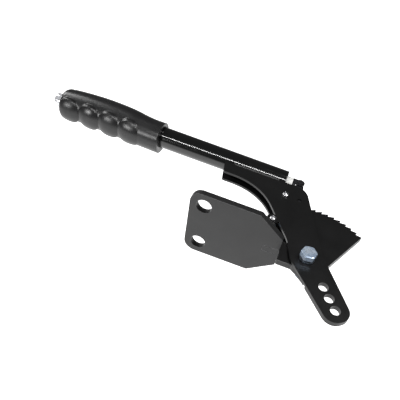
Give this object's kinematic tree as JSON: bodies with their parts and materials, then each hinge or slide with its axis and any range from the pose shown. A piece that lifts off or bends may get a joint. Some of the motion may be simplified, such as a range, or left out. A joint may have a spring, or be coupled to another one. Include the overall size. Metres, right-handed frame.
{
  "type": "ratcheting hand lever",
  "caption": "Push-button ratcheting hand lever: black tube handle with moulded grip, toothed sector, drilled mounting flange and drilled cable arm.",
  "frame": {"origin": "midway between the two mounting holes, on the flange's mounting face", "axes": "+X along the handle tube from the grip to the pivot, +Y from the mounting face towards the handle tube, +Z along the pivot bolt towards its head"},
  "size_m": [0.3476, 0.1734, 0.07],
  "materials": {
    "black_coat": "semi-gloss powder coat",
    "gloss_black_coat": "gloss powder coat",
    "grip_rubber": "moulded satin",
    "zinc": "bright zinc plated",
    "bright_steel": "bright drawn",
    "dark_steel": "phosphated, oiled",
    "spring_steel": "drawn wire",
    "chrome": "polished chrome",
    "nylon": "turned nylon",
    "white_nylon": "natural nylon"
  },
  "bodies": {
    "bracket": {"mounting_flange": "black_coat", "ratchet_sector": "black_coat"},
    "lever": {"front_plate": "black_coat", "rear_plate": "black_coat", "plate_spacers": "zinc", "front_plate_screws": "bright_steel", "rear_plate_screws": "bright_steel", "handle_tube": "gloss_black_coat", "grip": "grip_rubber", "button_bush": "nylon", "rod_guide_bush": "nylon", "spring_seat": "zinc", "return_spring": "spring_steel", "pivot_sleeve": "zinc", "pivot_bolt": "zinc", "front_washer": "zinc", "lock_washer": "zinc", "rear_washer": "zinc", "pivot_nut": "zinc", "pawl_pin": "dark_steel"},
    "release": {"release_button": "chrome", "push_rod": "bright_steel", "stop_collar": "zinc", "rod_sleeve": "white_nylon", "rod_clevis": "dark_steel", "clevis_pin": "dark_steel", "pin_clip": "spring_steel"},
    "pawl_body": {"pawl": "dark_steel"}
  },
  "joints": [
    {"name": "lever_swing", "type": "hinge", "parent": "bracket", "child": "lever", "pos_m": [0.098, 0, 0], "axis": [0, 0, -1], "range_deg": [0, 32.58]},
    {"name": "button_press", "type": "slide", "parent": "lever", "child": "release", "axis": [1, 0, 0], "range_m": [-0.00435, 0.0025], "stiffness_N_per_m": 900, "deforming": ["return_spring"]},
    {"name": "pawl_turn", "type": "hinge", "parent": "lever", "child": "pawl_body", "pos_m": [0.07504, 0.07108, 0], "axis": [0, 0, 1], "range_deg": [-4.72, 8.21]}
  ],
  "couplings": [
    {"joint": "pawl_turn", "follows": "button_press", "rad_per_m": -32.9}
  ]
}
